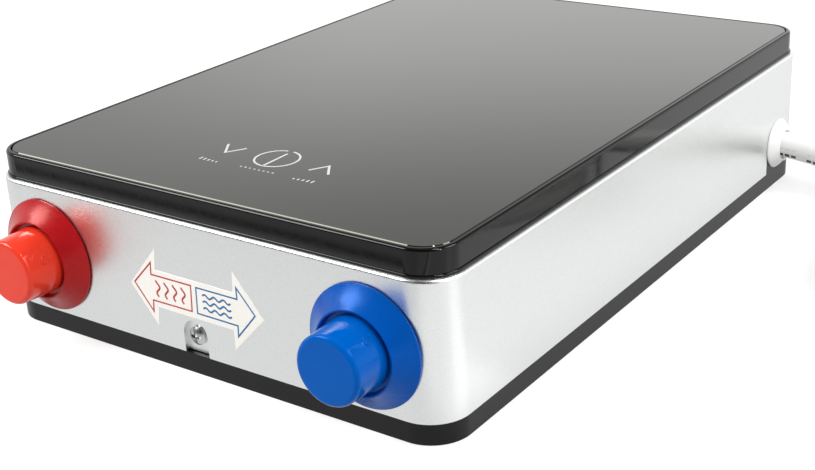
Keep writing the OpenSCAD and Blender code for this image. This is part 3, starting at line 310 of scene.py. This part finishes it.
# tree that puts a round skin on a line and keeps each point's place along and round it
def makeCordTree(material):
    tree = bpy.data.node_groups.new("cordSkin", "GeometryNodeTree")
    for name, kind in (("Line", "Geometry"), ("Radius", "Float"), ("Sides", "Int")):
        tree.interface.new_socket(name, in_out="INPUT", socket_type="NodeSocket" + kind)
    tree.interface.new_socket("Skin", in_out="OUTPUT", socket_type="NodeSocketGeometry")
    given = addNode(tree, "NodeGroupInput")
    line = addNode(tree, "GeometryNodeMeshToCurve", {"Mesh": given.outputs["Line"]})
    level = addNode(tree, "GeometryNodeSetCurveNormal", {"Curve": line.outputs[0]}, mode="Z_UP")
    along = addNode(tree, "GeometryNodeCaptureAttribute", {0: level.outputs[0]})
    along.capture_items.new("FLOAT", "Along")
    tree.links.new(addNode(tree, "GeometryNodeSplineParameter").outputs["Length"], along.inputs[1])
    ring = addNode(tree, "GeometryNodeCurvePrimitiveCircle",
                   {"Radius": given.outputs["Radius"], "Resolution": given.outputs["Sides"]})
    angle = addNode(tree, "GeometryNodeCaptureAttribute", {0: ring.outputs[0]})
    angle.capture_items.new("FLOAT", "Angle")
    tree.links.new(addNode(tree, "GeometryNodeSplineParameter").outputs["Factor"], angle.inputs[1])
    skin = addNode(tree, "GeometryNodeCurveToMesh",
                   {"Curve": along.outputs[0], "Profile Curve": angle.outputs[0], "Fill Caps": True})
    place = addNode(tree, "ShaderNodeCombineXYZ", {0: along.outputs[1], 1: angle.outputs[1]})
    store = addNode(tree, "GeometryNodeStoreNamedAttribute",
                    {"Geometry": skin.outputs[0], "Name": "alongCord", "Value": place.outputs[0]},
                    data_type="FLOAT_VECTOR", domain="POINT")
    smooth = addNode(tree, "GeometryNodeSetShadeSmooth", {"Geometry": store.outputs[0]})
    real = addNode(tree, "GeometryNodeRealizeInstances", {"Geometry": smooth.outputs[0]})
    coloured = addNode(tree, "GeometryNodeSetMaterial", {"Geometry": real.outputs[0], "Material": material})
    addNode(tree, "NodeGroupOutput", {"Skin": coloured.outputs[0]})
    return tree


# sets a modifier's input by the identifier of the socket with that name
def setInput(modifier, name, value):
    items = modifier.node_group.interface.items_tree
    item = next(i for i in items if i.name == name and i.in_out == "INPUT")
    modifier[item.identifier] = value


def makeCord():
    turns = int(cordWay["coilRings"] * cordWay["coilTurns"])
    coil = [coilPoint(i / cordWay["coilRings"]) for i in range(turns + 1)]
    points = smoothRoute(cordWay["start"] + coil + cordWay["tail"], cordWay["stepMm"])
    points = [p * mm for p in points]
    edges = [(i, i + 1) for i in range(len(points) - 1)]
    cord = addObject("mainsCord", meshFrom("mainsCord", points, [], edges))
    skin = cord.modifiers.new("cordSkin", "NODES")
    skin.node_group = makeCordTree(finish["cord_print"])
    setInput(skin, "Radius", cordWay["diameter"] / 2 * mm)
    setInput(skin, "Sides", cordWay["sides"])
    settle(cord)
    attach(cord, "case")
    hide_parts("power_cord", "cord_coil", "cord_tail")


# Pieces with the solids' own shape, merged and shaded smooth across each curved face
shown = dict(
    base_tray="black_matte", case_shell="case_silver", top_cover="black_gloss", glass_panel="dark_glass",
    case_screws="zinc_steel", hot_collar="red_plastic", cold_collar="blue_plastic", hot_cap="red_cap",
    cold_cap="blue_cap", cord_gland="pale_plastic", plug_body="cord_white", plug_pins="plug_metal",
    plug_earth="brass", cord_ties="component_plastic", outlet_nipple="brass", inlet_nipple="brass")
# the caps ride on bodies of their own, and have a finish of their own
bodyOf = {"hot_cap": "hot_cap", "cold_cap": "cold_cap"}
# height of a ground edge in mm, by node
ground = {"glass_panel": 0.5}
# points nearer than merge mm are one, edges past sharpDeg stay sharp, and large faces rule the normals
skinMesh = dict(merge=0.002, sharpDeg=32, weight=100)


# a ground top edge becomes one flat bevel, which takes the light as a single line
def flattenEdge(bm, top, grind):
    for vert in bm.verts:
        rise = (vert.co.z - top) / grind + 1
        if 0 < rise < 1:
            vert.co.z = top - grind * math.sqrt(1 - rise * rise)
    bm.normal_update()


def smoothCopy(node, key):
    sharp = math.radians(skinMesh["sharpDeg"])
    bm = bmesh.new()
    bm.from_mesh(nodes[node].data)
    bmesh.ops.remove_doubles(bm, verts=bm.verts, dist=skinMesh["merge"] * mm)
    if node in ground:
        flattenEdge(bm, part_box(node)[1][2], ground[node] * mm)
    for edge in bm.edges:
        edge.smooth = len(edge.link_faces) == 2 and edge.calc_face_angle(0) < sharp
    for face in bm.faces:
        face.smooth = True
        face.material_index = 0
    mesh = bpy.data.meshes.new(node + "_skin")
    bm.to_mesh(mesh)
    bm.free()
    if "custom_normal" in mesh.attributes:
        mesh.attributes.remove(mesh.attributes["custom_normal"])
    mesh.materials.append(finish[key])
    obj = addObject(node + "_skin", mesh)
    even = obj.modifiers.new("evenNormals", "WEIGHTED_NORMAL")
    even.keep_sharp = True
    even.weight = skinMesh["weight"]
    settle(obj)
    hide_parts(node)
    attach(obj, bodyOf.get(node, "case"))
    return obj


for node, key in shown.items():
    smoothCopy(node, key)
makeCord()


# Flat prints: lines of even width and filled shapes, as thin closed plates
mitreLimit = 0.25  # least cosine at a line's corner, so that a sharp one stays short


def addStrip(verts, faces, points, width, place, high, closed=False):
    pts = [Vector(p) for p in points]
    count = len(pts)
    rows = []
    for i, p in enumerate(pts):
        before = pts[i - 1] if i or closed else None
        after = pts[(i + 1) % count] if i < count - 1 or closed else None
        steps = ((before, p), (p, after))
        way = [(b - a).normalized() for a, b in steps if a is not None and b is not None]
        sides = [Vector((-w.y, w.x)) for w in way]
        mean = sum(sides, Vector((0, 0))).normalized()
        reach = width / 2 / max(mean.dot(sides[0]), mitreLimit)
        rows.append((p + mean * reach, p - mean * reach))
    first = len(verts)
    for left, right in rows:
        verts += [place(left, 0), place(right, 0), place(left, high), place(right, high)]
    for i in range(count if closed else count - 1):
        a, b = first + 4 * i, first + 4 * ((i + 1) % count)
        faces += [(a + 3, b + 3, b + 2, a + 2), (a + 1, a, b, b + 1),
                  (a + 1, b + 1, b + 3, a + 3), (b, a, a + 2, b + 2)]
    if not closed:
        z = first + 4 * (count - 1)
        faces += [(first, first + 1, first + 3, first + 2), (z + 1, z, z + 2, z + 3)]


def addPlate(verts, faces, points, place, high):
    first, count = len(verts), len(points)
    for h in (0, high):
        verts += [place(Vector(p), h) for p in points]
    faces.append(tuple(first + count + i for i in range(count)))
    faces.append(tuple(first + i for i in reversed(range(count))))
    for i in range(count):
        j = (i + 1) % count
        faces.append((first + i, first + j, first + count + j, first + count + i))


def printPiece(name, key, verts, faces):
    obj = addObject(name, meshFrom(name, verts, faces))
    obj.data.materials.append(finish[key])
    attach(obj, "case")


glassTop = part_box("glass_panel")[1][2]
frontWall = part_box("case_shell")[0][1]


# where a print's point lies, h mm above the top of the glass or off the front wall
def onGlass(p, h):
    return Vector((p.x * mm, p.y * mm, glassTop + h * mm))


def onFront(p, h):
    return Vector((p.x * mm, frontWall - h * mm, p.y * mm))


# points on an arc, with its ends in degrees
def arc(middle, radius, start, end, steps):
    turns = [math.radians(start + (end - start) * k / steps) for k in range(steps + 1)]
    return [(middle[0] + radius * math.cos(a), middle[1] + radius * math.sin(a)) for a in turns]


# touch marks on the glass: lower, standby and higher, with plain level marks below, in mm
glassMarks = dict(high=0.04, line=0.85, lower=[(-23.1, -95.9), (-18.2, -103.2), (-14.0, -96.5)],
                  higher=[(19.4, -103.3), (23.3, -96.9), (28.1, -103.7)],
                  middle=(2.5, -99.5), radius=8.0, ringLine=0.75, gap=(84, 101), ringSteps=72,
                  bar=[(2.55, -94.0), (2.65, -107.3)],
                  levelBase=-112.6, levelSteps=[0.9, 1.2, 1.5, 1.8, 2.1], levelPitch=1.9, levelWide=0.6,
                  lowLeft=-22.2, highLeft=19.8,
                  dotLeft=-3.6, dotPitch=2.0, dotCount=8, dotR=0.4, dotY=-111.4, dotSides=16)


def makeGlassMarks():
    g = glassMarks
    verts, faces = [], []
    gapStart, gapEnd = g["gap"]
    ring = arc(g["middle"], g["radius"], gapEnd, gapStart + 360, g["ringSteps"])
    for points, line in ((g["lower"], g["line"]), (g["higher"], g["line"]), (ring, g["ringLine"]),
                         (g["bar"], g["line"])):
        addStrip(verts, faces, points, line, onGlass, g["high"])
    for left, steps in ((g["lowLeft"], g["levelSteps"][::-1]), (g["highLeft"], g["levelSteps"])):
        for k, tall in enumerate(steps):
            x, y = left + k * g["levelPitch"], g["levelBase"]
            across, top = x + g["levelWide"], y + tall
            addPlate(verts, faces, [(x, y), (across, y), (across, top), (x, top)], onGlass, g["high"])
    for k in range(g["dotCount"]):
        dot = arc((g["dotLeft"] + k * g["dotPitch"], g["dotY"]), g["dotR"], 0, 360, g["dotSides"])
        addPlate(verts, faces, dot[:-1], onGlass, g["high"])
    printPiece("glassMarks", "white_ink", verts, faces)


# label on the connector end: a white double arrow, red towards hot and blue towards cold, in mm
label = dict(high=0.12, inkHigh=0.15, line=0.55,
             base=[(-30.6, 28.1), (-19.2, 14.2), (-18.3, 21.5), (15.9, 21.3), (15.7, 13.9), (29.6, 28.2),
                   (17.5, 42.9), (16.9, 35.2), (-18.0, 35.5), (-17.1, 43.7)],
             hot=[(-28.6, 28.9), (-19.8, 37.9), (-20.2, 33.4), (-1.9, 33.4), (-2.5, 23.7), (-20.5, 23.7),
                  (-20.9, 19.3)],
             cold=[(25.9, 28.9), (18.6, 37.4), (18.6, 33.2), (0.4, 33.2), (0.0, 23.6), (17.9, 23.4),
                   (17.7, 19.4)],
             steamX=[-17.5, -13.6, -9.7, -5.8], steamLow=25.6, steamHigh=31.6, steamSway=0.8,
             steamTurns=1.25, steamLine=0.715,
             rippleZ=[26.0, 28.4, 30.8], rippleLeft=3.0, rippleRight=15.5, rippleSway=0.6,
             rippleTurns=3, rippleLine=0.66, waveSteps=24)


# points on a wavy line from start to end
def wave(start, end, sway, turns, steps):
    a, b = Vector(start), Vector(end)
    ahead = (b - a).normalized()
    side = Vector((-ahead.y, ahead.x)) * sway
    return [a.lerp(b, k / steps) + side * math.sin(2 * math.pi * turns * k / steps) for k in range(steps + 1)]


def makeLabel():
    b = label
    verts, faces = [], []
    addPlate(verts, faces, b["base"], onFront, b["high"])
    printPiece("labelBase", "label_vinyl", verts, faces)
    steam = [wave((x, b["steamLow"]), (x, b["steamHigh"]), b["steamSway"], b["steamTurns"], b["waveSteps"])
             for x in b["steamX"]]
    ripples = [wave((b["rippleLeft"], z), (b["rippleRight"], z), b["rippleSway"], b["rippleTurns"],
                    b["waveSteps"]) for z in b["rippleZ"]]
    for name, ink, slot, outline, waves, line in (
            ("labelHot", "red_ink", "red_plastic", b["hot"], steam, b["steamLine"]),
            ("labelCold", "blue_ink", "blue_plastic", b["cold"], ripples, b["rippleLine"])):
        verts, faces = [], []
        addStrip(verts, faces, outline, b["line"], onFront, b["inkHigh"], closed=True)
        for points in waves:
            addStrip(verts, faces, points, line, onFront, b["inkHigh"])
        printPiece(name, ink, verts, faces)


makeGlassMarks()
makeLabel()
print("prints made")

# the solids that stay as they are take the finish of their slot
slotOf = {s["node"]: s["material_slot"] for s in frame["record"]["subparts"]}
for name, obj in nodes.items():
    for place in obj.material_slots:
        place.material = finish[slotOf[name]]
print("finishes set on", len(nodes), "nodes")

# Light: a soft box on the left, a narrow strip over the right side and a wide lamp behind it, in m and W
lamps = dict(
    leftSoftbox=dict(place=(-0.815, -0.725, 0.875), aim=(0.0, -0.15, 0.05), size=(0.70, 0.60), power=14.8),
    rightStrip=dict(place=(0.915, -0.33, 1.005), aim=(0.07, -0.16, 0.03), size=(0.07, 1.20), power=8.0),
    rightFill=dict(place=(0.90, 0.35, 0.90), aim=(0.05, 0.0, 0.05), size=(0.60, 0.45), power=6.5))


def makeLamps():
    for name, lamp in lamps.items():
        data = bpy.data.lights.new(name, "AREA")
        data.shape = "RECTANGLE"
        data.size, data.size_y = lamp["size"]
        data.energy = lamp["power"]
        place = Vector(lamp["place"])
        turn = (Vector(lamp["aim"]) - place).to_track_quat("-Z", "Y").to_matrix().to_4x4()
        addObject(name, data).matrix_world = Matrix.Translation(place) @ turn


# smooth grades of brightness, each a row: what it follows, its start and end, and the levels there
def addGrades(tree, follow, rows):
    grades = {}
    for name, (key, start, end, first, last) in rows.items():
        ramp = addNode(tree, "ShaderNodeMapRange", {"Value": follow[key], "From Min": start, "From Max": end,
                                                    "To Min": first, "To Max": last},
                       interpolation_type="SMOOTHSTEP")
        grades[name] = ramp.outputs[0]
    return grades


# white for the camera and dimmer for diffuse light
# mirrors see it graded by a ray's way: brighter low down but not on the left, dim overhead and in front
backdrop = dict(camera=1.0, diffuse=0.46, mirror=dict(
    overhead=("Z", 0.41, 0.62, 0.84, 0.25), low=("Z", 0.26, 0.40, 0.60, 0.0),
    left=("X", -0.78, -0.58, 0.2, 1.0), front=("Y", -0.50, -0.25, 0.04, 1.0)))


def makeWorld():
    world = bpy.data.worlds.new("studio")
    bpy.context.scene.world = world
    world.use_nodes = True
    tree = world.node_tree
    tree.nodes.clear()
    path = addNode(tree, "ShaderNodeLightPath").outputs
    coord = addNode(tree, "ShaderNodeTexCoord")
    way = addNode(tree, "ShaderNodeSeparateXYZ", {0: coord.outputs["Generated"]})
    grade = addGrades(tree, way.outputs, backdrop["mirror"])
    behind = addNode(tree, "ShaderNodeMath", {0: grade["low"], 1: grade["left"], 2: grade["overhead"]},
                     operation="MULTIPLY_ADD")
    mirror = addNode(tree, "ShaderNodeMath", {0: behind.outputs[0], 1: grade["front"]}, operation="MULTIPLY")
    plain = addNode(tree, "ShaderNodeMix", {0: path["Is Camera Ray"], 2: backdrop["diffuse"],
                                            3: backdrop["camera"]}, data_type="FLOAT")
    power = addNode(tree, "ShaderNodeMix", {0: path["Is Glossy Ray"], 2: plain.outputs[0],
                                            3: mirror.outputs[0]}, data_type="FLOAT")
    back = addNode(tree, "ShaderNodeBackground", {"Color": white, "Strength": power.outputs[0]})
    addNode(tree, "ShaderNodeOutputWorld", {"Surface": back.outputs[0]})


# pale floor that takes the shadow, with a glow for the camera that makes it white far off, places in m
# mirrors see it grey in front and white to the right, brightest beside the front corner
# band: brightness across the front by y, which the cover mirrors as a dark and a pale line
floorLook = dict(
    size=3.0, dropMm=0.2, colour="#BDBDBD", front=0.91, right=1.10,
    grades=dict(glow=("Away", 0.45, 1.30, 0.58, 1.05), right=("X", 0.095, 0.125, 0.0, 1.0),
                cornerRise=("Y", -0.15, -0.12, 0.0, 1.0), cornerFall=("Y", -0.10, -0.08, 0.28, 0.0)),
    band=[(-0.268, 0.88), (-0.2575, 1.0), (-0.2503, 0.14), (-0.2412, 1.75), (-0.2360, 1.05), (-0.228, 1.0)])


# the floor's brightness in mirrors: the band in front, and the brighter right side on top of it
def gradeFloor(tree, y, grade):
    places, levels = zip(*floorLook["band"])
    far, near = places[0], places[-1]
    across = addNode(tree, "ShaderNodeMapRange", {"Value": y, "From Min": far, "From Max": near})
    band = addNode(tree, "ShaderNodeValToRGB", {0: across.outputs[0]})
    band.color_ramp.interpolation = "EASE"
    stops = band.color_ramp.elements
    for place in places[1:-1]:
        stops.new((place - far) / (near - far))
    for stop, level in zip(stops, levels):
        stop.color = [level * floorLook["front"]] * 3 + [1.0]
    gain = addNode(tree, "ShaderNodeMath", {0: grade["cornerRise"], 1: grade["cornerFall"],
                                            2: floorLook["right"] - floorLook["front"]},
                   operation="MULTIPLY_ADD")
    return addNode(tree, "ShaderNodeMath", {0: grade["right"], 1: gain.outputs[0], 2: band.outputs[0]},
                   operation="MULTIPLY_ADD").outputs[0]


def makeFloor():
    s, z = floorLook["size"], -floorLook["dropMm"] * mm
    mesh = meshFrom("floor", [(-s, -s, z), (s, -s, z), (s, s, z), (-s, s, z)], [(0, 1, 2, 3)])
    floor = addObject("floor", mesh)
    mat = bpy.data.materials.new("paleFloor")
    mat.use_nodes = True
    tree = mat.node_tree
    tree.nodes.clear()
    path = addNode(tree, "ShaderNodeLightPath").outputs
    spot = addNode(tree, "ShaderNodeTexCoord").outputs["Object"]
    place = addNode(tree, "ShaderNodeSeparateXYZ", {0: spot}).outputs
    away = addNode(tree, "ShaderNodeVectorMath", {0: spot}, operation="LENGTH").outputs["Value"]
    grade = addGrades(tree, dict(X=place["X"], Y=place["Y"], Away=away), floorLook["grades"])
    matt = addNode(tree, "ShaderNodeBsdfDiffuse", {"Color": hexColour(floorLook["colour"])})
    lift = addNode(tree, "ShaderNodeMath", {0: path["Is Camera Ray"], 1: grade["glow"]}, operation="MULTIPLY")
    glow = addNode(tree, "ShaderNodeEmission", {"Color": white, "Strength": lift.outputs[0]})
    seen = addNode(tree, "ShaderNodeAddShader", {0: matt.outputs[0], 1: glow.outputs[0]})
    graded = gradeFloor(tree, place["Y"], grade)
    mirrored = addNode(tree, "ShaderNodeEmission", {"Color": white, "Strength": graded})
    both = addNode(tree, "ShaderNodeMixShader",
                   {0: path["Is Glossy Ray"], 1: seen.outputs[0], 2: mirrored.outputs[0]})
    addNode(tree, "ShaderNodeOutputMaterial", {"Surface": both.outputs[0]})
    mesh.materials.append(mat)


makeLamps()
makeWorld()
makeFloor()
bpy.context.scene.view_settings.view_transform = "Standard"
print("light and floor set")
